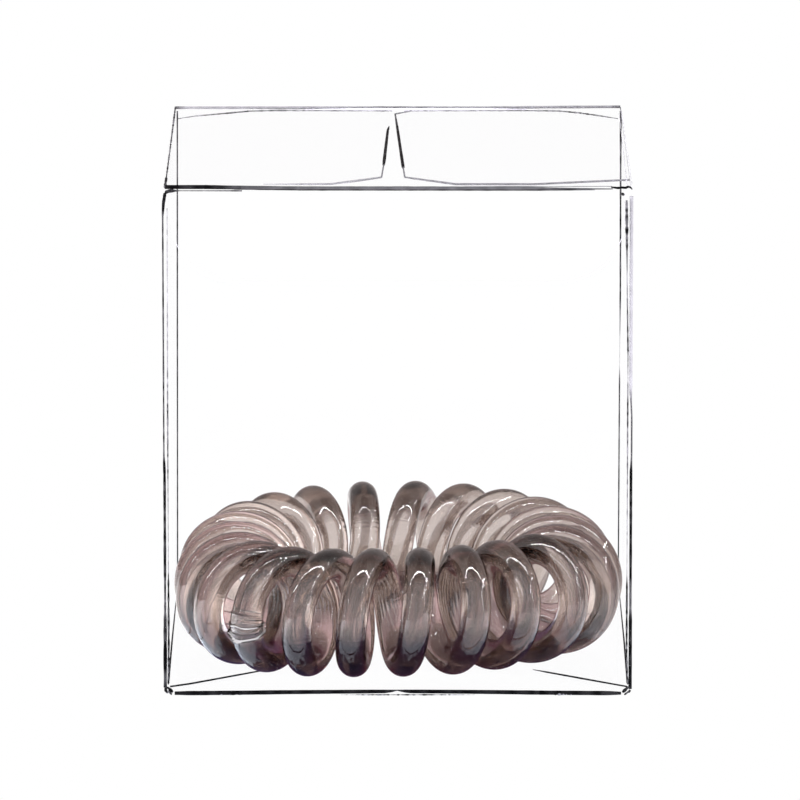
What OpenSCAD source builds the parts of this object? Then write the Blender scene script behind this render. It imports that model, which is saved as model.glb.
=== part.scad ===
// A spiral hair tie, a coiled translucent cord closed into a ring, resting on the floor of
// its clear folded box. The box stands on z = 0, its front faces -Y and its lid opens to +Y.

/* [Hair tie] */
// Outer diameter of the ring of coils
tie_d = 56; // [44:0.5:76]
// Outer diameter of one coil, over the cord
coil_d = 16; // [12:0.1:19]
// Diameter of the cord
cord_d = 3.8; // [2.6:0.1:4.6]
// Least space between two turns where they crowd round the centre hole
turn_gap = 0.15; // [0.1:0.05:1]
// How much steeper the outer half of each turn stands than the inner half
turn_lean = 0.4; // [0:0.05:0.6]
// Direction of the first turn's outermost point, from the front towards +X
first_turn_angle = 4.8; // [-15:0.1:15]

/* [Ring's front corners, where it follows the box's] */
// How far the ring reaches out at its front left
left_fill = 3.8; // [0:0.1:4]
// Middle of that stretch, as an angle from the front towards -X
left_fill_angle = 45; // [40:1:50]
// Half of that stretch
left_fill_half = 46; // [30:1:46]
// How far the ring reaches out at its front right
right_fill = 1.3; // [0:0.1:1.4]
// Middle of that stretch, as an angle from the front towards +X
right_fill_angle = 66; // [50:1:66]
// Half of that stretch
right_fill_half = 30; // [20:1:32]
// How far the turns on the left crowd towards the front, at most
crowd_angle = 11; // [0:0.5:11]
// Where that starts, as an angle from the front towards -X
crowd_start = 5; // [0:1:10]
// Where they crowd most
crowd_peak = 85; // [80:1:100]
// Where it ends, round the back
crowd_end = 250; // [200:5:300]

/* [Weld where the cord's ends meet] */
// Turns from the first one back to the turn that holds the weld
weld_turn = 3; // [1:1:6]
// Place of the weld on its turn, below the outermost point
weld_drop_angle = 25; // [-60:1:60]
// Length of the weld's collar along the cord
weld_len = 2.6; // [1:0.1:4]
// Height of the collar over the cord
weld_rise = 0.3; // [0.1:0.05:0.6]

/* [Box] */
// Outer height of the closed box
box_h = 63.7; // [40:0.1:100]
// Thickness of the clear sheet
sheet_t = 0.2; // [0.15:0.05:0.4]
// Space left on each side of the hair tie
side_clear = 0.5; // [0.1:0.05:1.5]
// Outer radius of the four upright creases
crease_r = 0.8; // [0.5:0.1:1.5]
// Radius of the walls' rounded corners beside the tuck flaps
corner_relief_r = 1.2; // [0.5:0.1:3]
// Gap between sheets that lie or meet one on another
sheet_gap = 0.05; // [0.05:0.05:0.2]

/* [Lid and bottom panel] */
// Depth of a tuck flap behind the front wall
tuck_len = 12; // [6:0.5:20]
// Radius of a tuck flap's free corners
tuck_corner_r = 8; // [2:0.5:10]
// Gap between a tuck flap and the front wall
tuck_clear = 0.15; // [0.1:0.05:0.4]
// How far a tuck flap stays inside the side walls
tuck_side_gap = 0.8; // [0.4:0.1:2]
// How far the lid and bottom panel stay inside the outer width, on each side
panel_side_gap = 0.3; // [0:0.1:1]

/* [Dust flaps] */
// Where the left and right flaps meet, from the middle, on X
flap_meet_x = -0.6; // [-2:0.1:2]
// Gap between the two flaps where they meet
flap_meet_gap = 0.5; // [0.3:0.1:6]
// Upper flaps: how much shorter the free end is at its front than at its back
top_end_slant = 1.2; // [0:0.1:4]
// Upper flaps: distance of the front edge from the front wall
top_front_inset = 3.2; // [2:0.1:12]
// Upper flaps: the same distance at the crease, where the edge tapers
top_crease_inset = 6.2; // [3:0.1:15]
// Upper flaps: length of that taper along the flap
top_taper_len = 12; // [5:0.5:18]
// Upper flaps: depth of the slanted cut at the free front corner
top_cut_depth = 4.8; // [2:0.1:8]
// Upper flaps: length of that cut along the flap
top_cut_len = 6.2; // [2:0.1:8]
// Lower flaps: depth of the slanted front cut at its far end
low_cut_depth = 9.3; // [4:0.1:14]
// Lower flaps: length of that cut along the flap
low_cut_len = 11.6; // [6:0.1:16]
// Lower flaps: distance of the front edge from the front wall at the free end
low_front_inset = 12; // [10:0.5:18]
// All flaps: depth of the taper at the back of the crease
back_taper_depth = 6; // [2:0.5:10]
// All flaps: length of that taper along the flap
back_taper_len = 9.5; // [4:0.5:16]
// All flaps: bevel of the free back corner
back_bevel = 2.5; // [1:0.1:5]

/* [Hidden] */

// Fineness of true circles, and the facets of the swept cord
$fn = 48;
rings_per_turn = 16;
cord_sides = 10;
slope_step = 0.01;

// Box: the depth also takes the tuck flap between the front wall and the hair tie
tuck_space = sheet_t + tuck_clear;
box_w = tie_d + 2 * (side_clear + sheet_t);
box_d = tie_d + 2 * (side_clear + sheet_t) + tuck_space;
half_w = box_w / 2;
half_d = box_d / 2;
front_in = -half_d + sheet_t;
back_in = half_d - sheet_t;

// Heights: a panel, a dust flap on it and then the walls' edges, each a sheet and a gap on
layer = sheet_t + sheet_gap;
wall_bottom = 2 * layer;
wall_top = box_h - 2 * layer;
floor_top = layer + sheet_t;

// Tuck flaps: their front face at the crease, and its distance from the lid's own crease
tuck_y = front_in + tuck_clear;
swing_r = half_d - tuck_y;
// Spare length that lets one shape cut cleanly through another
over = 1;

// Hair tie: centre circle of the coils, and the cord's own circle in each coil
core_r = (tie_d - coil_d) / 2;
coil_r = (coil_d - cord_d) / 2;
turns = floor(2 * PI * (core_r - coil_r) / (cord_d + turn_gap));
tie_y = tuck_space / 2;
tie_z = floor_top + sheet_gap + coil_d / 2;

// Weld collar: place along it as a share of its half length, and share of its full rise
weld_profile = [[-1, 0], [-0.75, 1], [0, 0.75], [0.75, 1], [1, 0]];
weld_phi = 360 * (turns - weld_turn) - weld_drop_angle;
weld_half_angle = weld_len / 2 / coil_r * 180 / PI;

// Smooth rise that is 1 at x = 0 and 0 from x = -1 and x = 1 outwards
function bump(x) = pow(cos(90 * min(1, abs(x))), 2);

// An angle brought within half a turn of the front
function wrap(a) = a - 360 * floor((a + 180) / 360);

// How much the turns crowd at an angle from the front towards -X, as a share of the most
function crowd(back) =
    bump((back - crowd_peak) / (back < crowd_peak ? crowd_peak - crowd_start
                                                  : crowd_end - crowd_peak));

// Angle round the ring at an angle phi along the coiled cord, 0 at the front
function ring_angle(phi) =
    let (
        even = first_turn_angle + (phi - turn_lean * sin(phi) * 180 / PI) / turns,
        back = 360 * ceil(even / 360) - even
    )
    even + crowd_angle * crowd(back);

// Distance of the coils' centres from the ring's axis
function ring_r(a) =
    core_r
    + left_fill * bump(wrap(a + left_fill_angle) / left_fill_half)
    + right_fill * bump(wrap(a - right_fill_angle) / right_fill_half);

// Direction away from the ring's axis
function outward(a) = [sin(a), -cos(a), 0];

// Direction from the coil's centre to the cord, and the cord's centre line
function to_cord(phi) = cos(phi) * outward(ring_angle(phi)) + [0, 0, sin(phi)];
function cord_point(phi) =
    let (a = ring_angle(phi))
    [0, tie_y, tie_z] + ring_r(a) * outward(a) + coil_r * to_cord(phi);

// Direction of the cord, from two points close together on its centre line
function cord_dir(phi) =
    let (d = cord_point(phi + slope_step) - cord_point(phi - slope_step))
    d / norm(d);

// One ring of points round the cord
function cord_ring(phi, r) =
    let (n = to_cord(phi), b = cross(cord_dir(phi), n))
    [for (j = [0:cord_sides - 1])
        let (a = 360 * j / cord_sides)
        cord_point(phi) + r * (cos(a) * n + sin(a) * b)];

// Stations along the cord as [phi, radius]: even steps, with closer ones through the weld
step = 360 / rings_per_turn;
ring_count = turns * rings_per_turn;
weld_first = ceil((weld_phi - weld_half_angle) / step - 0.4);
weld_last = floor((weld_phi + weld_half_angle) / step + 0.4);
stations = concat(
    [for (i = [0:weld_first - 1]) [i * step, cord_d / 2]],
    [for (w = weld_profile)
        [weld_phi + w[0] * weld_half_angle, cord_d / 2 + w[1] * weld_rise]],
    [for (i = [weld_last + 1:ring_count - 1]) [i * step, cord_d / 2]]
);

module hair_tie() {
    m = len(stations);
    points = [for (s = stations) each cord_ring(s[0], s[1])];
    faces = [for (i = [0:m - 1], j = [0:cord_sides - 1])
        let (
            i2 = (i + 1) % m,
            j2 = (j + 1) % cord_sides,
            a = i * cord_sides + j,
            b = i * cord_sides + j2,
            c = i2 * cord_sides + j2,
            d = i2 * cord_sides + j
        )
        each [[a, d, c], [a, c, b]]];
    color([0.55, 0.47, 0.44]) polyhedron(points, faces);
}

// Rectangle centred on the origin, with round corners
module rounded_plan(w, d, r) {
    square([w - 2 * r, d], center = true);
    square([w, d - 2 * r], center = true);
    for (x = [-1, 1], y = [-1, 1])
        translate([x * (w / 2 - r), y * (d / 2 - r)]) circle(r);
}

// What is cut off a square corner on the origin to leave it round
module corner_cut(r) {
    difference() {
        translate([-over, -over]) square(r + over);
        translate([r, r]) circle(r);
    }
}

module sleeve() {
    color([0.86, 0.9, 0.93, 0.35])
    difference() {
        union() {
            translate([0, 0, wall_bottom])
                linear_extrude(wall_top - wall_bottom)
                    difference() {
                        rounded_plan(box_w, box_d, crease_r);
                        rounded_plan(
                            box_w - 2 * sheet_t, box_d - 2 * sheet_t, crease_r - sheet_t);
                    }
            // The back wall reaches on to the creases of the lid and the bottom panel
            translate([-half_w + crease_r, back_in, layer])
                cube([box_w - 2 * crease_r, sheet_t, box_h - 2 * layer]);
        }
        for (x = [0, 1], z = [0, 1])
            mirror([x, 0, 0])
                translate([-half_w, -half_d + crease_r, z * box_h])
                    mirror([0, 0, z])
                        translate([0, 0, wall_bottom])
                            rotate([90, 0, 0])
                                linear_extrude(crease_r + over) corner_cut(corner_relief_r);
    }
}

// Tuck flap seen from the front, hanging from z = 0, with round free corners
module tuck_outline() {
    w = box_w - 2 * (sheet_t + tuck_side_gap);
    difference() {
        translate([-w / 2, -tuck_len]) square([w, tuck_len + sheet_t]);
        for (x = [0, 1])
            mirror([x, 0])
                translate([-w / 2, -tuck_len]) corner_cut(tuck_corner_r);
    }
}

// Flat panel of the lid or bottom, with its upper face on z = 0
module closure_panel() {
    translate([-half_w + panel_side_gap, tuck_y, -sheet_t])
        cube([box_w - 2 * panel_side_gap, half_d - tuck_y, sheet_t]);
}

module lid() {
    color([0.8, 0.87, 0.93, 0.35])
    translate([0, 0, box_h]) {
        closure_panel();
        // The flap follows the arc that its crease swings on, so it slides past the wall
        intersection() {
            translate([0, 0, -sheet_t])
                rotate([90, 0, 0])
                    translate([0, 0, -half_d])
                        linear_extrude(box_d) tuck_outline();
            translate([-half_w, half_d, -sheet_t])
                rotate([0, 90, 0])
                    linear_extrude(box_w)
                        difference() {
                            circle(swing_r, $fn = 180);
                            circle(swing_r - sheet_t, $fn = 180);
                        }
        }
    }
}

module bottom_panel() {
    color([0.8, 0.87, 0.93, 0.35])
    mirror([0, 0, 1]) {
        closure_panel();
        translate([0, tuck_y + sheet_t, -sheet_t])
            rotate([90, 0, 0])
                linear_extrude(sheet_t) tuck_outline();
    }
}

// Dust flap over the left wall's edge, seen from above, its crease on x = 0
module top_flap_outline(length) {
    front = front_in + top_front_inset;
    back = back_in - sheet_gap;
    front_end = length - top_end_slant;
    polygon([
        [0, front_in + top_crease_inset],
        [top_taper_len, front],
        [front_end - top_cut_len, front],
        [front_end, front + top_cut_depth],
        [length, back - back_bevel],
        [length - back_bevel, back],
        [back_taper_len, back],
        [0, back - back_taper_depth]
    ]);
}

module low_flap_outline(length) {
    front = front_in + tuck_space + sheet_gap;
    back = back_in - sheet_gap;
    polygon([
        [0, front],
        [low_cut_len, front + low_cut_depth],
        [length, front_in + low_front_inset],
        [length, back - back_bevel],
        [length - back_bevel, back],
        [back_taper_len, back],
        [0, back - back_taper_depth]
    ]);
}

// Length of a dust flap from its crease, on side -1 (left) or 1 (right)
function flap_len(side) = half_w - side * flap_meet_x - flap_meet_gap / 2;

module place_flap(side, z) {
    color([0.83, 0.89, 0.93, 0.35])
        mirror([side > 0 ? 1 : 0, 0, 0])
            translate([-half_w, 0, z])
                linear_extrude(sheet_t) children();
}

module top_dust_flap(side) {
    place_flap(side, wall_top + sheet_gap) top_flap_outline(flap_len(side));
}

module bottom_dust_flap(side) {
    place_flap(side, layer) low_flap_outline(flap_len(side));
}

module top_dust_flap_left() { top_dust_flap(-1); }
module top_dust_flap_right() { top_dust_flap(1); }
module bottom_dust_flap_left() { bottom_dust_flap(-1); }
module bottom_dust_flap_right() { bottom_dust_flap(1); }

hair_tie();
sleeve();
bottom_panel();
bottom_dust_flap_left();
bottom_dust_flap_right();
top_dust_flap_left();
top_dust_flap_right();
lid();
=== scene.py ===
import math

import bpy
import numpy as np
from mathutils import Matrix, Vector


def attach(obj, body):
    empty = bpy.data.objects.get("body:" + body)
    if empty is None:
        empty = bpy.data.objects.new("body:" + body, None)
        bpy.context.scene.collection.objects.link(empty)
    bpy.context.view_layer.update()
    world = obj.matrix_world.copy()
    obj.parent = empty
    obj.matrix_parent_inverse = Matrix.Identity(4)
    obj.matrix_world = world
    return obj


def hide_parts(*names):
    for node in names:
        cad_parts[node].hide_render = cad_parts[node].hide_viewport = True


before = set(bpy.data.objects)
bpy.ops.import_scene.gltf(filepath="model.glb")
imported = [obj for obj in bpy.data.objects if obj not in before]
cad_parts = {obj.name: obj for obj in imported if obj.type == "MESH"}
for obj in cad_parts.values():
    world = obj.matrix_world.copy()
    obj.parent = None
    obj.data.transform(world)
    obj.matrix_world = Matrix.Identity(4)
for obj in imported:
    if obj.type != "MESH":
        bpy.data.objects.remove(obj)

MM = 0.001
TAU = 2 * math.pi
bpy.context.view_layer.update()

# Hair tie, with the same values as the solid that it replaces. Angles along the coiled cord
# start at the first turn's outermost point
TIE_D, COIL_D, CORD_D = 56.0, 16.0, 3.8
TURNS = 22
TURN_LEAN = 0.4
FIRST_TURN = math.radians(4.8)
TIE_Y, TIE_Z = 0.175, 8.5
CORE_R = (TIE_D - COIL_D) / 2
COIL_R = (COIL_D - CORD_D) / 2
# The ring reaches further out at its front corners: how far, and the middle and half width
# of each stretch, as angles from the front towards +X
FILLS = ((3.8, math.radians(-45), math.radians(46)), (1.3, math.radians(66), math.radians(30)))
# Its turns crowd there at the left too: their largest turn towards the front, and the angles
# where that starts, peaks and ends
CROWD = math.radians(11)
CROWD_START, CROWD_PEAK, CROWD_END = (math.radians(v) for v in (5, 85, 250))

# How far each turn's outer side stands off its even place, in millimetres, by turn number.
# A half turn stands for the inner side that follows
TURN_SHIFT = {21: -0.4, 21.5: -0.65, 1: 0.15, 2: -0.12, 4: 0.2, 6: -0.25, 8: 0.3, 10: -0.3,
              12: 0.25, 14: -0.2, 16: 0.3, 18: -0.15}
# Weld: its place as an angle along the coiled cord, and half of the stretch with closer rings
WELD_PHI = math.radians(6831)
WELD_REACH = 2.4

# Fineness of the swept cord, and the step between rings at the weld in millimetres
RINGS_PER_TURN = 96
SIDES = 36
WELD_STEP = 0.04
# The cord's length and girth in millimetres, for its surface relief
CORD_LENGTH, CORD_GIRTH = 851, 12
# What the cord's inside takes out of the light
CORD_TINT, CORD_DENSITY = (0.43, 0.332, 0.278, 1), 350.0

# Box: half of its outer width and depth, the lid's front crease, and the upright creases
HALF_W, HALF_D = 28.7, 28.875
PANEL_FRONT = -28.525
CREASE_R = 0.8
# The lid's tuck flap: its crease's height, half width, length and corner radius
CREASE_Z = 63.5
TUCK_HALF_W, TUCK_LEN, TUCK_CORNER_R = 27.7, 12.0, 8.0
# Heights of the lines along the walls' lower edges, the lower flaps and the upper flaps
WALL_EDGE_Z, LOW_FLAP_Z, TOP_FLAP_Z = 0.5, 0.45, 63.42
# Radius of a bead for each unit of its given width, so that fine ones don't fade in the picture
FULLNESS = 0.62
BEAD_SIDES = 8

rng = np.random.default_rng(7)


def new_material(name):
    """An empty node material, with its tree and its output."""
    mat = bpy.data.materials.new(name)
    mat.use_nodes = True
    tree = mat.node_tree
    tree.nodes.clear()
    return mat, tree, tree.nodes.new("ShaderNodeOutputMaterial")


def add(tree, kind, **settings):
    """A node, its settings given by name and its sockets by socket name or number."""
    node = tree.nodes.new(kind)
    sockets = settings.pop("sockets", {})
    for key, value in settings.items():
        setattr(node, key, value)
    for key, value in sockets.items():
        if isinstance(value, bpy.types.NodeSocket):
            tree.links.new(value, node.inputs[key])
        else:
            node.inputs[key].default_value = value
    return node


def blend(tree, share, stops):
    """A colour ramp from (position, colour) pairs."""
    node = add(tree, "ShaderNodeValToRGB", sockets={0: share})
    elements = node.color_ramp.elements
    while len(elements) < len(stops):
        elements.new(0.5)
    for element, (position, colour) in zip(elements, stops):
        element.position, element.color = position, (*colour, 1)
    return node.outputs[0]


def cord_material(name, clearness):
    """Smoky translucent cord with streaks along it, ripples inside each coil and a painted dark
    rim at its outlines.
    """
    mat, tree, out = new_material(name)
    uv = add(tree, "ShaderNodeUVMap", uv_map="cord")
    # The map rolled out flat, in millimetres
    flat = add(tree, "ShaderNodeVectorMath", operation="MULTIPLY", sockets={
        0: uv.outputs[0], 1: (CORD_LENGTH, CORD_GIRTH, 1)})
    streaks = add(tree, "ShaderNodeTexNoise", sockets={
        "Vector": add(tree, "ShaderNodeVectorMath", operation="MULTIPLY", sockets={
            0: flat.outputs[0], 1: (0.12, 3.0, 1)}).outputs[0],
        "Scale": 1.0, "Detail": 3.0, "Roughness": 0.6})
    ripples = add(tree, "ShaderNodeTexNoise", sockets={
        "Vector": add(tree, "ShaderNodeVectorMath", operation="MULTIPLY", sockets={
            0: flat.outputs[0], 1: (1.8, 0.5, 1)}).outputs[0],
        "Scale": 1.0, "Detail": 1.5, "Roughness": 0.5, "Distortion": 1.2})
    # The ripples are only on the side that faces the middle of each coil
    side = add(tree, "ShaderNodeSeparateXYZ", sockets={0: uv.outputs[0]})
    inner = add(tree, "ShaderNodeMapRange", interpolation_type="SMOOTHSTEP", sockets={
        0: add(tree, "ShaderNodeMath", operation="ABSOLUTE", sockets={
            0: add(tree, "ShaderNodeMath", operation="SUBTRACT", sockets={
                0: side.outputs[1], 1: 0.5}).outputs[0]}).outputs[0],
        1: 0.22, 2: 0.08, 3: 0.0, 4: 1.0})
    waves = add(tree, "ShaderNodeMath", operation="MULTIPLY", sockets={
        0: ripples.outputs[0], 1: inner.outputs[0]})
    streaked = add(tree, "ShaderNodeBump", sockets={
        "Strength": 0.28, "Distance": 0.04 * MM, "Height": streaks.outputs[0]})
    rippled = add(tree, "ShaderNodeBump", sockets={
        "Strength": 0.6, "Distance": 0.08 * MM, "Height": waves.outputs[0],
        "Normal": streaked.outputs[0]})
    # Painted shade: the base colour darkens to near black at the outlines, where the surface turns
    # away from the eye
    slant = add(tree, "ShaderNodeLayerWeight", sockets={"Blend": 0.5}).outputs["Facing"]
    rim = blend(tree, slant, (
        (0.0, (1, 1, 1)), (0.6, (1, 1, 1)), (0.72, (0.22, 0.09, 0.1)),
        (1.0, (0.04, 0.01, 0.015))))
    shader = add(tree, "ShaderNodeBsdfPrincipled", sockets={
        "Base Color": rim, "Roughness": 0.02, "IOR": 1.5,
        "Transmission Weight": clearness, "Normal": rippled.outputs[0]})
    inside = add(tree, "ShaderNodeVolumeAbsorption", sockets={
        "Color": CORD_TINT, "Density": CORD_DENSITY})
    tree.links.new(shader.outputs[0], out.inputs["Surface"])
    tree.links.new(inside.outputs[0], out.inputs["Volume"])
    return mat


def sheet_material():
    """Crystal clear film, a little wavy, that mirrors only at a slant."""
    mat, tree, out = new_material("clear_film")
    wave = add(tree, "ShaderNodeTexNoise", sockets={
        "Vector": add(tree, "ShaderNodeTexCoord").outputs["Object"],
        "Scale": 60.0, "Detail": 1.0})
    bump = add(tree, "ShaderNodeBump", sockets={
        "Strength": 0.25, "Distance": 0.4 * MM, "Height": wave.outputs[0]})
    gloss = add(tree, "ShaderNodeBsdfGlossy", sockets={
        "Color": (0.9, 0.92, 0.96, 1), "Roughness": 0.03, "Normal": bump.outputs[0]})
    clear = add(tree, "ShaderNodeBsdfTransparent", sockets={"Color": (0.9995, 0.9995, 1, 1)})
    # A thin sheet bends nothing, so its mirror share is the same from both of its sides
    slant = add(tree, "ShaderNodeMath", operation="POWER", sockets={
        0: add(tree, "ShaderNodeLayerWeight", sockets={"Blend": 0.5}).outputs["Facing"],
        1: 5.0})
    share = add(tree, "ShaderNodeMath", operation="MULTIPLY_ADD", sockets={
        0: slant.outputs[0], 1: 0.025, 2: 0.0004})
    mix = add(tree, "ShaderNodeMixShader", sockets={
        0: share.outputs[0], 1: clear.outputs[0], 2: gloss.outputs[0]})
    tree.links.new(mix.outputs[0], out.inputs["Surface"])
    return mat


def line_material():
    """Painted shade and painted reflection along folds and cut edges, from black to pale by the
    tone of each point.
    """
    mat, tree, out = new_material("painted_edge_shade")
    tone = add(tree, "ShaderNodeAttribute", attribute_name="tone")
    colour = add(tree, "ShaderNodeMix", data_type="RGBA", sockets={
        0: tone.outputs["Fac"], 6: (0.0004, 0.0004, 0.0008, 1), 7: (0.6, 0.6, 0.66, 1)})
    shader = add(tree, "ShaderNodeBsdfPrincipled", sockets={
        "Base Color": colour.outputs[2], "Roughness": 0.6, "Specular IOR Level": 0.03})
    tree.links.new(shader.outputs[0], out.inputs["Surface"])
    return mat


def new_mesh(name, points, faces, material):
    """A smooth-shaded mesh object from points in millimetres."""
    mesh = bpy.data.meshes.new(name)
    mesh.from_pydata((np.asarray(points) * MM).tolist(), [], faces)
    mesh.polygons.foreach_set("use_smooth", [True] * len(mesh.polygons))
    mesh.materials.append(material)
    mesh.update()
    obj = bpy.data.objects.new(name, mesh)
    bpy.context.scene.collection.objects.link(obj)
    return obj


def unit(v):
    """Vectors brought to a length of 1."""
    return v / np.linalg.norm(v, axis=-1, keepdims=True)


def ring_angle(phi):
    """Angle round the ring, from the front towards +X, at an angle along the coiled cord."""
    even = FIRST_TURN + (phi - TURN_LEAN * np.sin(phi)) / TURNS
    shift = np.zeros_like(phi)
    for turn, d in TURN_SHIFT.items():
        off = (phi - turn * TAU + math.pi) % (TURNS * TAU) - math.pi
        shift += np.where(np.abs(off) < math.pi, d * np.cos(off / 2) ** 2, 0)
    back = -even % TAU
    rise = np.clip((back - CROWD_START) / (CROWD_PEAK - CROWD_START), 0, 1)
    fall = np.clip((back - CROWD_PEAK) / (CROWD_END - CROWD_PEAK), 0, 1)
    crowd = np.sin(rise * math.pi / 2) ** 2 * np.cos(fall * math.pi / 2) ** 2
    return even + shift / (TIE_D / 2) + CROWD * crowd


def ring_radius(a):
    """Distance of the coils' middle from the ring's axis, at an angle round the ring."""
    r = np.full_like(a, CORE_R)
    for reach, middle, half in FILLS:
        off = np.abs((a - middle + math.pi) % TAU - math.pi) / half
        r += reach * np.cos(np.clip(off, 0, 1) * math.pi / 2) ** 2
    return r


def cord_centre(phi):
    """Points on the cord's centre line."""
    a = ring_angle(phi)
    r = ring_radius(a) + COIL_R * np.cos(phi)
    return np.stack([r * np.sin(a), TIE_Y - r * np.cos(a), TIE_Z + COIL_R * np.sin(phi)], -1)


def cord_frame(phi):
    """Centre, and the two directions across the cord: away from the coil's middle, and aside."""
    step = 1e-4
    along = unit(cord_centre(phi + step) - cord_centre(phi - step))
    a = ring_angle(phi)
    n = np.stack([np.cos(phi) * np.sin(a), -np.cos(phi) * np.cos(a), np.sin(phi)], -1)
    aside = unit(np.cross(along, n))
    return cord_centre(phi), np.cross(aside, along), aside


def ridge(s, centre, half, height):
    """A smooth ridge across the distance s."""
    return height * np.exp(-((s - centre) / half) ** 2)


def weld_wave(a):
    """How the weld's ridges waver, from -1 to 1, by angle round the cord."""
    return 0.5 * np.sin(3 * a + 1.0) + 0.5 * np.sin(5 * a + 2.2)


def weld_height(s, a):
    """How far the weld stands proud, by distance along the cord and angle round it."""
    wave = weld_wave(a)
    left = np.exp(-(((a + math.pi / 2 + math.pi) % TAU - math.pi) / 0.55) ** 2)
    body = 0.12 * (1 - np.tanh((np.abs(s - 0.1) - 1.4) / 0.16)) / 2
    rim = ridge(s, 1.5 + 0.06 * wave, 0.11, 0.13 + 0.03 * wave)
    middle = ridge(s, 0.25 + 0.08 * wave, 0.12, 0.22 + 0.05 * wave)
    groove = -ridge(s, -0.35 + 0.05 * wave, 0.14, 0.1)
    lip = ridge(s, -1.1 - 0.18 * wave, 0.18, 0.36 + 0.08 * wave)
    flash = ridge(s, -0.75, 0.55, 0.62) * left
    return body + rim + middle + groove + lip + flash


def make_tie(material, milky_glint_flash):
    """The cord with its weld, as one closed sweep."""
    even = np.arange(TURNS * RINGS_PER_TURN) * TAU / RINGS_PER_TURN
    keep = np.abs(even - WELD_PHI) * COIL_R > WELD_REACH
    near = WELD_PHI + np.arange(-WELD_REACH, WELD_REACH, WELD_STEP) / COIL_R
    phi = np.sort(np.concatenate([even[keep], near]))
    centre, n, aside = cord_frame(phi)
    a = np.arange(SIDES) * TAU / SIDES
    s = (phi - WELD_PHI) * COIL_R
    r = CORD_D / 2 + weld_height(s[:, None], a[None, :])
    points = (centre[:, None] + r[..., None] * (
        np.cos(a)[None, :, None] * n[:, None] + np.sin(a)[None, :, None] * aside[:, None]))
    m = len(phi)
    i, j = np.meshgrid(np.arange(m), np.arange(SIDES), indexing="ij")
    i2, j2 = (i + 1) % m, (j + 1) % SIDES
    quads = np.stack([i * SIDES + j, i2 * SIDES + j, i2 * SIDES + j2, i * SIDES + j2], -1)
    obj = new_mesh("spiral_cord", points.reshape(-1, 3),
                   quads[:, :, ::-1].reshape(-1, 4).tolist(), material)
    # The crests of the weld's ridges are milky flash, laid where the weld shows white glints, so
    # they are partly a painted highlight
    wave = weld_wave(a)[None, :]
    low = np.abs(s[:, None] + 0.95 + 0.18 * wave) < 0.07 + 0.04 * wave
    high = (np.abs(s[:, None] - 0.3 - 0.08 * wave) < 0.045) & (wave > -0.3)
    obj.data.materials.append(milky_glint_flash)
    obj.data.polygons.foreach_set("material_index", (low | high).reshape(-1).astype(np.int32))
    # Along the cord, then round it, with the seam closed at 1
    u = np.append(phi, TURNS * TAU) / (TURNS * TAU)
    v = np.arange(SIDES + 1) / SIDES
    corners = np.stack([
        np.stack([u[i], v[j]], -1), np.stack([u[i + 1], v[j]], -1),
        np.stack([u[i + 1], v[j + 1]], -1), np.stack([u[i], v[j + 1]], -1)], 2)
    layer = obj.data.uv_layers.new(name="cord")
    layer.data.foreach_set("uv", corners[:, :, ::-1].reshape(-1).astype(np.float32))
    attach(obj, "box")
    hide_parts("hair_tie")


def add_lines(name, body, lines, material):
    """Fine beads along folds and cut edges, coloured with painted shade and painted reflection, as
    one piece.
    A line is its points, and the diameter and tone, from 0 for black to 1 for pale, at its points
    or one for all."""
    points, faces, tones = [], [], []
    for path, width, tone in lines:
        path = np.asarray(path, float)
        count = len(path)
        width = np.broadcast_to(np.asarray(width, float), (count,))
        tone = np.broadcast_to(np.asarray(tone, float), (count,))
        along = unit(np.gradient(path, axis=0))
        helper = np.where(np.abs(along[:, 2:]) > 0.8, [[0.0, 1.0, 0.0]], [[0.0, 0.0, 1.0]])
        across = unit(np.cross(along, helper))
        up = np.cross(across, along)
        start = len(points)
        for k in range(count):
            for q in range(BEAD_SIDES):
                t = TAU * q / BEAD_SIDES
                points.append(path[k] + width[k] * FULLNESS * (
                    math.cos(t) * across[k] + math.sin(t) * up[k]))
                tones.append(tone[k])
        for k in range(count - 1):
            p = start + k * BEAD_SIDES
            for q in range(BEAD_SIDES):
                q2 = (q + 1) % BEAD_SIDES
                faces.append([p + q, p + q2, p + BEAD_SIDES + q2, p + BEAD_SIDES + q])
        end = start + (count - 1) * BEAD_SIDES
        faces.append([start + q for q in range(BEAD_SIDES)][::-1])
        faces.append([end + q for q in range(BEAD_SIDES)])
    obj = new_mesh(name, points, faces, material)
    layer = obj.data.attributes.new("tone", "FLOAT", "POINT")
    layer.data.foreach_set("value", np.array(tones, np.float32))
    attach(obj, body)


def stroke(points, stops, rough=0.0, step=0.8):
    """Points, diameters and tones of one line, from (share of its length, diameter, tone)
    at a few stops. Rough makes its width and painted shade uneven along its length."""
    points = np.asarray(points, float)
    reach = np.append(0, np.cumsum(np.linalg.norm(np.diff(points, axis=0), axis=1)))
    s = np.union1d(np.linspace(0, reach[-1], int(reach[-1] / step) + 3), reach)
    path = np.stack([np.interp(s, reach, points[:, k]) for k in range(3)], -1)
    at, width, tone = np.array(stops, float).T
    uneven = rough * rng.uniform(-1, 1, (2, len(s)))
    width = np.interp(s / reach[-1], at, width) * (1 + uneven[0])
    tone = np.clip(np.interp(s / reach[-1], at, tone) + 0.5 * uneven[1], 0, 1)
    return path, width, tone


def front(points, y=-HALF_D + 0.1):
    """Points given as (x, z), laid on the front wall."""
    return [(x, y, z) for x, z in points]


def level(points, z):
    """Points given as (x, y), laid at one height."""
    return [(x, y, z) for x, y in points]


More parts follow.
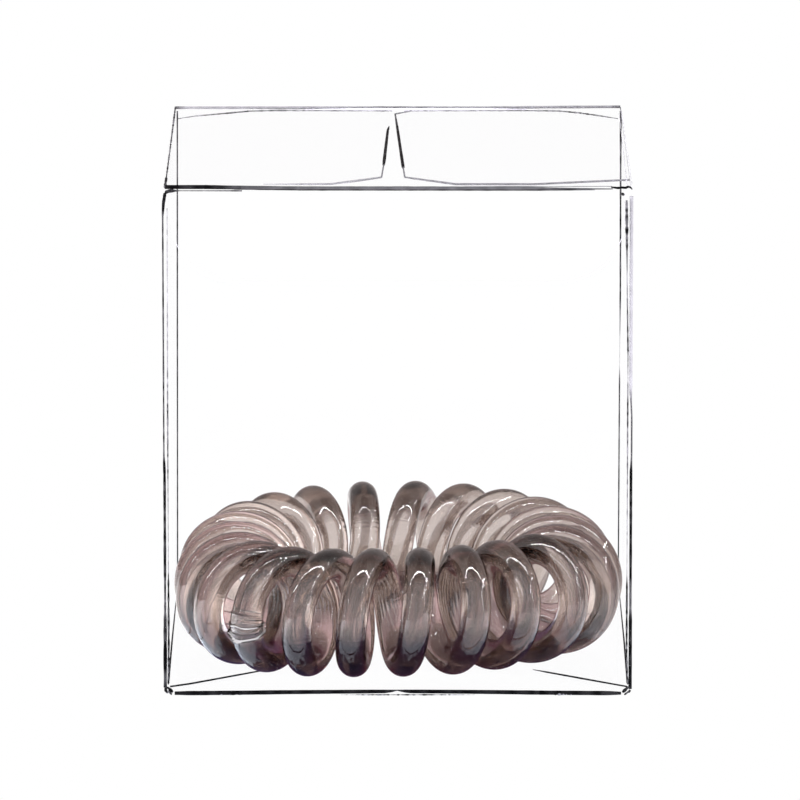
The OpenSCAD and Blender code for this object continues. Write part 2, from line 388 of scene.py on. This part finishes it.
def box_lines():
    """Painted shade and painted reflection along the folds and cut edges of the walls, the bottom
    panel and the dust flaps.
    """
    crease_y = HALF_D - CREASE_R
    near, inner = -crease_y, -HALF_D + 0.2
    return [
        # Front left upright: two fine lines, the outer one black over its lower half
        stroke([(-28.6, near, 61.5), (-28.7, near, 60), (-28.7, near, 30), (-28.63, near, 28),
                (-28.63, near, 12), (-28.66, near, 0.9)],
               [(0, 0.3, 0), (0.03, 0.16, 0.05), (0.2, 0.15, 0.05), (0.25, 0.17, 0.05),
                (0.52, 0.16, 0.06), (0.54, 0.27, 0), (0.76, 0.27, 0), (0.79, 0.22, 0.08),
                (0.84, 0.22, 0.08), (0.86, 0.33, 0), (0.96, 0.35, 0), (1, 0.33, 0.03)], 0.12),
        stroke([(-28.15, inner, 61), (-28.2, inner, 36), (-28.2, inner, 6), (-28.28, inner, 1.4)],
               [(0, 0.08, 0.3), (0.15, 0.1, 0.4), (0.35, 0.12, 0.25), (0.45, 0.16, 0.1),
                (0.55, 0.12, 0.1), (0.7, 0.06, 0.2), (0.76, 0.08, 0.2), (0.78, 0.18, 0),
                (0.93, 0.2, 0), (1, 0.14, 0.05)], 0.28, 0.4),
        # Front right upright, with a broad pale outer line of painted reflection over its upper
        # half
        stroke([(28.5, near, 62.4), (28.52, near, 38), (28.66, near, 35), (28.66, near, 30),
                (28.6, near, 28), (28.62, near, 0.7)],
               [(0, 0.36, 0.4), (0.38, 0.34, 0.45), (0.42, 0.16, 0.1), (0.54, 0.17, 0.06),
                (0.55, 0.29, 0), (0.78, 0.27, 0), (0.79, 0.24, 0.1), (0.84, 0.24, 0.1),
                (0.86, 0.34, 0), (1, 0.36, 0)], 0.08),
        stroke([(27.9, inner, 62), (27.95, inner, 57), (28.03, inner, 50), (28.15, inner, 43),
                (28.15, inner, 6), (28.3, inner, 1.4)],
               [(0, 0.2, 0.1), (0.05, 0.3, 0), (0.1, 0.2, 0.05), (0.16, 0.1, 0.3),
                (0.24, 0.14, 0.1), (0.3, 0.16, 0.05), (0.36, 0.08, 0.3), (0.42, 0.16, 0.1),
                (0.5, 0.14, 0.2), (0.7, 0.08, 0.3), (0.77, 0.08, 0.3), (0.79, 0.18, 0),
                (0.88, 0.2, 0), (1, 0.12, 0.1)], 0.25, 0.4),
        # Back uprights
        stroke([(-28.15, crease_y, 63.2), (-28.26, crease_y, 38), (-28.4, crease_y, 0.6)],
               [(0, 0.15, 0.05), (0.3, 0.15, 0.03), (1, 0.14, 0.06)], 0.08),
        stroke([(28.45, crease_y, 63.2), (28.5, crease_y, 40), (28.45, crease_y, 30),
                (28.4, crease_y, 0.6)],
               [(0, 0.22, 0), (0.1, 0.18, 0.05), (0.2, 0.18, 0), (0.4, 0.16, 0.05),
                (0.48, 0.04, 0.3), (0.53, 0.04, 0.3), (0.56, 0.14, 0.06), (1, 0.14, 0.06)], 0.12),
        # Walls' lower edges at the sides, and the slanted front cuts of the lower flaps
        stroke(level([(-28.45, 27.8), (-28.45, 0), (-28.38, -24)], WALL_EDGE_Z),
               [(0, 0.1, 0.1), (0.5, 0.16, 0.02), (1, 0.22, 0)], 0.05),
        stroke(level([(28.52, 27.8), (28.5, 0), (28.4, -24)], WALL_EDGE_Z),
               [(0, 0.1, 0.1), (0.5, 0.16, 0.02), (1, 0.22, 0)], 0.05),
        stroke(level([(-28.1, -25.8), (-25.7, -24.3), (-16.6, -16.9)], LOW_FLAP_Z),
               [(0, 0.19, 0), (0.2, 0.19, 0), (0.8, 0.18, 0.02), (1, 0.14, 0.05)], 0.05),
        stroke(level([(28.3, -25.8), (25, -23.2), (16.8, -16.6)], LOW_FLAP_Z),
               [(0, 0.17, 0), (0.5, 0.19, 0), (0.85, 0.17, 0.04), (1, 0.07, 0.3)], 0.05),
        # Back wall's lower edge
        stroke(level([(-28.3, 28.7), (28.3, 28.7)], 0.4), [(0, 0.06, 0.6), (1, 0.06, 0.6)], 0.2),
        # Front wall's lower edge, bowed a little, with a notch at its middle
        stroke(front([(-27.5, 0.31), (-24.4, 0.32), (-18.2, 0.38), (-14.5, 0.43), (-9.6, 0.47),
                      (-1.6, 0.53), (-0.9, 0.58), (-0.1, 0.68), (0.8, 0.58), (1.5, 0.53),
                      (7.6, 0.49), (12.6, 0.44), (17.5, 0.38), (24.9, 0.32), (27.5, 0.31)]),
               [(0, 0.36, 0.01), (0.03, 0.46, 0.01), (0.2, 0.44, 0.003), (0.47, 0.38, 0.003),
                (0.485, 0.28, 0.01), (0.498, 0.12, 0.05), (0.512, 0.28, 0.01),
                (0.525, 0.38, 0.003), (0.8, 0.44, 0.003), (0.97, 0.46, 0.01), (1, 0.3, 0.01)],
               0.03),
        stroke(front([(-7, 0.13), (9.5, 0.13)], -HALF_D),
               [(0, 0.04, 0.4), (0.3, 0.11, 0.1), (0.6, 0.12, 0.08), (1, 0.04, 0.4)], 0.6, 0.25),
        stroke(front([(-23.6, 0.2), (-18.4, 0.25)], -HALF_D),
               [(0, 0.1, 0), (0.5, 0.16, 0), (0.9, 0.2, 0), (1, 0.06, 0)], 0.8, 0.22),
        stroke(front([(18.8, 0.26), (23.2, 0.2)], -HALF_D),
               [(0, 0.1, 0), (0.1, 0.22, 0), (0.5, 0.16, 0), (1, 0.06, 0)], 0.8, 0.22),
        # Curled corners beside the bottom tuck flap
        stroke(front([(-28.6, 1.1), (-28.6, 0.7), (-28.5, 0.45), (-28.3, 0.36)]),
               [(0, 0.28, 0.03), (0.5, 0.32, 0), (1, 0.2, 0.05)], 0.1, 0.2),
        stroke(front([(-28.5, 1.02), (-28.3, 0.98), (-28.07, 0.78), (-27.9, 0.58), (-27.7, 0.46)]),
               [(0, 0.2, 0.02), (0.4, 0.28, 0), (0.7, 0.38, 0), (1, 0.2, 0)], 0.1, 0.2),
        stroke(front([(-28.32, 0.62), (-28.1, 0.38), (-27.85, 0.15)]),
               [(0, 0.14, 0.2), (0.5, 0.2, 0.03), (1, 0.2, 0)], 0.1, 0.2),
        stroke(front([(27.65, 0.43), (27.85, 0.58), (28.04, 0.76), (28.26, 1.0), (28.5, 1.1)]),
               [(0, 0.2, 0), (0.3, 0.36, 0), (0.7, 0.28, 0), (1, 0.22, 0.05)], 0.1, 0.2),
        stroke(front([(27.9, 0.12), (28.1, 0.26), (28.3, 0.42), (28.5, 0.5), (28.6, 0.7)]),
               [(0, 0.17, 0), (0.5, 0.18, 0.1), (1, 0.28, 0)], 0.1, 0.2),
        # Walls' round upper corners beside the lid's tuck flap
        stroke(front([(-28.6, 61.6), (-28.45, 62.5), (-28.4, 62.8), (-28.2, 63.05),
                      (-27.95, 63.15), (-27.6, 63.2), (-26.5, 63.2), (-19, 63.2)]),
               [(0, 0.3, 0), (0.1, 0.32, 0), (0.2, 0.38, 0), (0.26, 0.18, 0),
                (0.3, 0.08, 0.05), (0.6, 0.1, 0.08), (1, 0.15, 0.1)], 0.1, 0.3),
        stroke(front([(27.25, 62.9), (27.6, 62.65)]), [(0, 0.16, 0), (0.5, 0.34, 0), (1, 0.16, 0)],
               0.1, 0.2),
        # Upper flaps: the left one's free end and front edge, then the right one's
        stroke(level([(-1.1, 15.6), (-1.27, 12.6), (-1.75, -12)], TOP_FLAP_Z),
               [(0, 0.08, 0.1), (0.08, 0.26, 0), (0.9, 0.34, 0), (1, 0.26, 0)], 0.05),
        stroke(level([(-1.75, -12), (-2.0, -20.7), (-4.4, -22.7), (-8.25, -25.4), (-11, -25.47),
                      (-16.5, -25.47)], TOP_FLAP_Z),
               [(0, 0.15, 0.12), (0.35, 0.17, 0.18), (0.5, 0.22, 0.25), (0.8, 0.18, 0.3),
                (1, 0.06, 0.4)], 0.05),
        stroke(level([(1.6, 26.6), (-0.35, 24.6), (-0.1, 15.6)], TOP_FLAP_Z),
               [(0, 0.12, 0.25), (0.25, 0.17, 0.12), (1, 0.24, 0)], 0.1),
        stroke(level([(-0.1, 15.6), (0.65, -13.7)], TOP_FLAP_Z),
               [(0, 0.27, 0), (1, 0.33, 0)], 0.05),
        stroke(level([(0.65, -13.7), (0.85, -20.7), (3, -22.4), (7.05, -25.47), (16.7, -25.47),
                      (28.4, -22.5)], TOP_FLAP_Z),
               [(0, 0.15, 0.12), (0.17, 0.17, 0.18), (0.35, 0.22, 0.2), (0.6, 0.22, 0.2),
                (1, 0.2, 0.2)], 0.05),
        # Upper flaps: their back edges, and the pale band of painted reflection where they lie on
        # the back wall
        stroke([(-27.9, 21.2, 63.4), (-25.8, 23.1, 63.4), (-21.4, 25.4, 63.4),
                (-19, 27.0, 63.36), (-15.5, 28.35, 63.22), (-0.7, 28.35, 63.17)],
               [(0, 0.08, 0.15), (0.3, 0.15, 0.12), (0.5, 0.16, 0.2), (1, 0.15, 0.3)], 0.25, 0.4),
        stroke([(0.8, 28.35, 63.17), (16, 28.3, 63.22), (20.6, 27.0, 63.38), (23.2, 25.4, 63.4),
                (25.7, 23.3, 63.4), (27.9, 21.2, 63.4)],
               [(0, 0.15, 0.3), (0.5, 0.15, 0.25), (0.7, 0.16, 0.12), (0.85, 0.16, 0.1),
                (1, 0.08, 0.15)], 0.25, 0.4),
        stroke([(-12, 28.5, 63.3), (17.5, 28.5, 63.32)],
               [(0, 0.1, 0.9), (0.3, 0.3, 1), (0.7, 0.3, 1), (1, 0.1, 0.9)], 0.1),
    ]


def tuck_edge():
    """Sides and free edge of the lid's tuck flap, which curves along the arc that it swings on."""
    turn = np.linspace(0, math.pi / 2, 7)
    x = np.concatenate([[TUCK_HALF_W], TUCK_HALF_W - TUCK_CORNER_R * (1 - np.cos(turn))])
    down = np.concatenate([[0.3], TUCK_LEN - TUCK_CORNER_R * (1 - np.sin(turn))])
    x, down = np.concatenate([-x, x[::-1]]), np.concatenate([down, down[::-1]])
    swing = HALF_D - PANEL_FRONT
    return np.stack([x, HALF_D - np.sqrt(swing ** 2 - down ** 2), CREASE_Z - down], -1)


def lid_lines():
    """Painted shade and painted reflection along the lid's folds, side edges and tuck flap."""
    z = 63.6
    return [
        # Tuck flap, then the front crease with its painted darker lower border and upper line
        stroke(tuck_edge(), [(0, 0.05, 0.8), (1, 0.05, 0.8)], 0.1),
        stroke([(-28.42, PANEL_FRONT, 63.62), (-23.5, PANEL_FRONT, 63.62),
                (-19.2, PANEL_FRONT, 63.55), (-12, PANEL_FRONT, 63.46),
                (14.9, PANEL_FRONT, 63.44), (19.8, PANEL_FRONT, 63.4),
                (26.2, PANEL_FRONT, 63.38)],
               [(0, 0.4, 0), (0.1, 0.42, 0), (0.14, 0.38, 0.02), (0.19, 0.4, 0.08),
                (0.5, 0.42, 0.11), (0.8, 0.4, 0.1), (0.9, 0.22, 0.08), (1, 0.1, 0.1)], 0.04),
        stroke([(-20, PANEL_FRONT - 0.15, 63.36), (-12, PANEL_FRONT - 0.15, 63.29),
                (17, PANEL_FRONT - 0.15, 63.27), (24, PANEL_FRONT - 0.15, 63.28)],
               [(0, 0.06, 0), (0.2, 0.14, 0), (0.85, 0.14, 0), (1, 0.05, 0.1)], 0.15),
        stroke([(8, PANEL_FRONT + 0.1, 63.68), (26.1, PANEL_FRONT + 0.1, 63.68)],
               [(0, 0.03, 0.4), (0.3, 0.07, 0.2), (1, 0.08, 0.2)], 0.1),
        # Black hook at the right end of the front crease
        stroke([(26.0, PANEL_FRONT, 63.6), (26.8, PANEL_FRONT, 63.5), (27.3, PANEL_FRONT, 63.56),
                (27.8, PANEL_FRONT, 63.52), (28.05, PANEL_FRONT, 63.66), (28.3, PANEL_FRONT, 63.6),
                (28.5, PANEL_FRONT, 63.45), (28.55, PANEL_FRONT, 63.3)],
               [(0, 0.16, 0), (0.3, 0.24, 0), (0.8, 0.24, 0), (1, 0.1, 0.1)], 0.06, 0.2),
        # Hinge crease along the back
        stroke([(-28.4, HALF_D - 0.1, 63.5), (12, HALF_D - 0.1, 63.5), (20.7, HALF_D - 0.1, 63.58),
                (28.4, HALF_D - 0.1, 63.62)],
               [(0, 0.3, 0.1), (0.02, 0.26, 0.32), (0.4, 0.28, 0.26), (0.5, 0.3, 0.15),
                (0.6, 0.26, 0.25), (0.8, 0.28, 0.25), (0.98, 0.28, 0.2), (1, 0.3, 0.1)], 0.08),
        # Side edges
        stroke(level([(-28.4, 28.4), (-28.38, -2), (-28.38, -24), (-28.4, -28.3)], z),
               [(0, 0.18, 0.04), (0.3, 0.17, 0.08), (0.6, 0.14, 0.1), (0.88, 0.16, 0.06),
                (0.92, 0.26, 0), (1, 0.28, 0)], 0.35, 0.5),
        stroke(level([(28.4, 28.4), (28.4, -28.3)], z),
               [(0, 0.12, 0.1), (0.1, 0.05, 0.4), (1, 0.05, 0.4)], 0.2),
        stroke(level([(28.15, 24), (28.0, -27.8)], 63.55),
               [(0, 0.05, 0.6), (0.5, 0.06, 0.6), (1, 0.06, 0.6)], 0.2),
        stroke(level([(28.5, 26), (28.6, -27.8)], 63.55),
               [(0, 0.05, 0.8), (0.5, 0.07, 0.7), (1, 0.06, 0.6)], 0.2),
    ]


def two_faced(tree, lit_kind, colour, strength):
    """White for the camera, and another light for what the tie and the sheets show."""
    lit = add(tree, lit_kind, sockets={"Color": colour, "Strength": strength})
    seen = add(tree, lit_kind, sockets={"Color": (1, 1, 1, 1), "Strength": 1.0})
    return add(tree, "ShaderNodeMixShader", sockets={
        0: add(tree, "ShaderNodeLightPath").outputs["Is Camera Ray"],
        1: lit.outputs[0], 2: seen.outputs[0]}).outputs[0]


# Brightness of the surroundings, half the floor's side, its height, and the distance over
# which its painted light and shadow change, in millimetres
GLOW = 3.6
FLOOR_HALF, FLOOR_Z = 1500, -0.05
FLOOR_SPAN = 60.0


def floor_material():
    """White for the camera. For the tie it glows as painted light, brightest before the box, with
    a painted shadow beneath.
    """
    mat, tree, out = new_material("pale_floor")
    place = add(tree, "ShaderNodeNewGeometry").outputs["Position"]
    # Distance from the box's middle, with a ragged edge to the painted shadow
    spread = add(tree, "ShaderNodeVectorMath", operation="LENGTH", sockets={0: place})
    painted_shadow_edge = add(tree, "ShaderNodeTexNoise", sockets={
        "Vector": place, "Scale": 500.0, "Detail": 2.0, "Roughness": 0.6})
    reach = add(tree, "ShaderNodeMath", operation="MULTIPLY_ADD", sockets={
        0: add(tree, "ShaderNodeMath", operation="SUBTRACT", sockets={
            0: painted_shadow_edge.outputs[0], 1: 0.5}).outputs[0],
        1: 8 * MM, 2: spread.outputs["Value"]})
    share = add(tree, "ShaderNodeMath", operation="MULTIPLY", sockets={
        0: reach.outputs[0], 1: 1 / (FLOOR_SPAN * MM)})
    # Painted shadow: dark near the middle, under the tie, then painted light brightening outwards
    before = blend(tree, share.outputs[0], (
        (0.0, (0.08, 0.06, 0.058)), (0.25, (0.055, 0.04, 0.042)), (0.32, (0.032, 0.01, 0.018)),
        (0.46, (0.026, 0.022, 0.05)), (0.475, (0.34, 0.38, 0.44)), (0.52, (0.45, 0.5, 0.57)),
        (0.62, (0.62, 0.635, 0.68)), (1.0, (0.95, 0.915, 0.93))))
    behind = blend(tree, share.outputs[0], (
        (0.0, (0.11, 0.08, 0.084)), (0.333, (0.147, 0.109, 0.115)), (0.4, (0.212, 0.174, 0.18)),
        (0.5, (0.31, 0.292, 0.286)), (0.67, (0.375, 0.362, 0.356)), (1.0, (0.4, 0.388, 0.386))))
    # Direction from the middle: the painted light and shadow go from before to behind, and each
    # side glows brighter as painted light
    towards = add(tree, "ShaderNodeSeparateXYZ", sockets={
        0: add(tree, "ShaderNodeVectorMath", operation="NORMALIZE", sockets={
            0: place}).outputs[0]})
    around = add(tree, "ShaderNodeMix", data_type="RGBA", sockets={
        0: add(tree, "ShaderNodeMapRange", interpolation_type="SMOOTHSTEP", sockets={
            0: towards.outputs[1], 1: -0.45, 2: 0.05}).outputs[0], 6: before, 7: behind})
    fade = add(tree, "ShaderNodeMapRange", interpolation_type="SMOOTHSTEP", sockets={
        0: towards.outputs[1], 1: 0.2, 2: 0.6, 3: GLOW, 4: 0.8 * GLOW})
    leftwards = add(tree, "ShaderNodeMapRange", interpolation_type="SMOOTHSTEP", sockets={
        0: towards.outputs[0], 1: -0.45, 2: -0.95, 3: 1.0, 4: 2.0})
    rightwards = add(tree, "ShaderNodeMapRange", interpolation_type="SMOOTHSTEP", sockets={
        0: towards.outputs[0], 1: 0.5, 2: 0.95, 3: 1.0, 4: 1.25})
    strength = add(tree, "ShaderNodeMath", operation="MULTIPLY", sockets={
        0: add(tree, "ShaderNodeMath", operation="MULTIPLY", sockets={
            0: fade.outputs[0], 1: leftwards.outputs[0]}).outputs[0],
        1: rightwards.outputs[0]})
    tree.links.new(
        two_faced(tree, "ShaderNodeEmission", around.outputs[2], strength.outputs[0]),
        out.inputs["Surface"])
    return mat


def build_world():
    """White for the camera. For the tie it is brighter in front than behind."""
    world = bpy.data.worlds.new("studio")
    bpy.context.scene.world = world
    world.use_nodes = True
    tree = world.node_tree
    tree.nodes.clear()
    out = tree.nodes.new("ShaderNodeOutputWorld")
    direction = add(tree, "ShaderNodeSeparateXYZ", sockets={
        0: add(tree, "ShaderNodeTexCoord").outputs["Generated"]})
    # 0 towards the front and 1 towards the back
    half = add(tree, "ShaderNodeMath", operation="MULTIPLY_ADD", sockets={
        0: direction.outputs[1], 1: 0.5, 2: 0.5})
    side = blend(tree, half.outputs[0], (
        (0.25, (0.63, 0.605, 0.62)), (0.36, (0.42, 0.4, 0.405)), (0.45, (0.35, 0.335, 0.335)),
        (0.6, (0.29, 0.275, 0.27)), (0.75, (0.17, 0.148, 0.145))))
    height = add(tree, "ShaderNodeMapRange", interpolation_type="SMOOTHSTEP", sockets={
        0: direction.outputs[2], 1: 0.85, 2: 0.97, 3: GLOW, 4: 0.5 * GLOW})
    tree.links.new(two_faced(tree, "ShaderNodeBackground", side, height.outputs[0]),
                   out.inputs["Surface"])


# Strip lights that face the tie: name, place, width and height in millimetres, and power
STRIPS = (
    ("top_strip", (0, -25, 430), (1400, 10), 4.0),
    ("side_strip", (600, -107, 430), (1000, 8), 1.8),
    ("right_strip", (450, -300, 150), (8, 500), 0.4),
    ("left_strip", (-450, -300, 150), (8, 500), 0.3),
)
# What they face: the middle of the tie
LIT_POINT = Vector((0, 0, 10))


def area_light(name, place, size, power):
    """A rectangular light that faces the tie and isn't seen itself."""
    data = bpy.data.lights.new(name, "AREA")
    data.shape = "RECTANGLE"
    data.size, data.size_y = size[0] * MM, size[1] * MM
    data.energy = power
    obj = bpy.data.objects.new(name, data)
    bpy.context.scene.collection.objects.link(obj)
    obj.location = Vector(place) * MM
    obj.rotation_mode = "QUATERNION"
    obj.rotation_quaternion = (LIT_POINT * MM - obj.location).to_track_quat("-Z", "Y")
    obj.visible_camera = False


# The photo's view, from a camera fitted to the box's corners
ELEVATION = math.radians(11.522)
DISTANCE = 1217.0
AIM = Vector((0, 0, 32.07))
SENSOR, LENS = 36, 436.6
SHIFT_X, SHIFT_Y = 0.00266, -0.00765


def build_camera():
    """The camera, at the photo's place and angle."""
    camera = bpy.data.objects.new("camera", bpy.data.cameras.new("camera"))
    bpy.context.scene.collection.objects.link(camera)
    camera.data.sensor_width = SENSOR
    camera.data.lens = LENS
    camera.data.shift_x, camera.data.shift_y = SHIFT_X, SHIFT_Y
    back = Vector((0, -math.cos(ELEVATION), math.sin(ELEVATION)))
    camera.location = (AIM + DISTANCE * back) * MM
    camera.rotation_euler = (math.pi / 2 - ELEVATION, 0, 0)
    bpy.context.scene.camera = camera


# The part
# The cord, and the weld's milky crests, which are partly a painted highlight
make_tie(cord_material("smoky_cord", 1.0), cord_material("weld_flash_glint", 0.72))
sheet = sheet_material()
for name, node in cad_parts.items():
    if name != "hair_tie":
        node.data.materials.clear()
        node.data.materials.append(sheet)
# Beads with painted shade and painted reflection along the box's and the lid's folds and edges
edge_shading = line_material()
add_lines("box_edge_shading", "box", box_lines(), edge_shading)
add_lines("lid_edge_shading", "lid", lid_lines(), edge_shading)

# Its surroundings
floor = new_mesh("floor", [
    [-FLOOR_HALF, -FLOOR_HALF, FLOOR_Z], [FLOOR_HALF, -FLOOR_HALF, FLOOR_Z],
    [FLOOR_HALF, FLOOR_HALF, FLOOR_Z], [-FLOOR_HALF, FLOOR_HALF, FLOOR_Z]],
    [[0, 1, 2, 3]], floor_material())
build_world()
for strip in STRIPS:
    area_light(*strip)
build_camera()
scene = bpy.context.scene
scene.view_settings.view_transform = "Standard"
scene.cycles.transparent_max_bounces = 48
scene.cycles.transmission_bounces = 20
scene.cycles.max_bounces = 24
scene.cycles.use_denoising = True
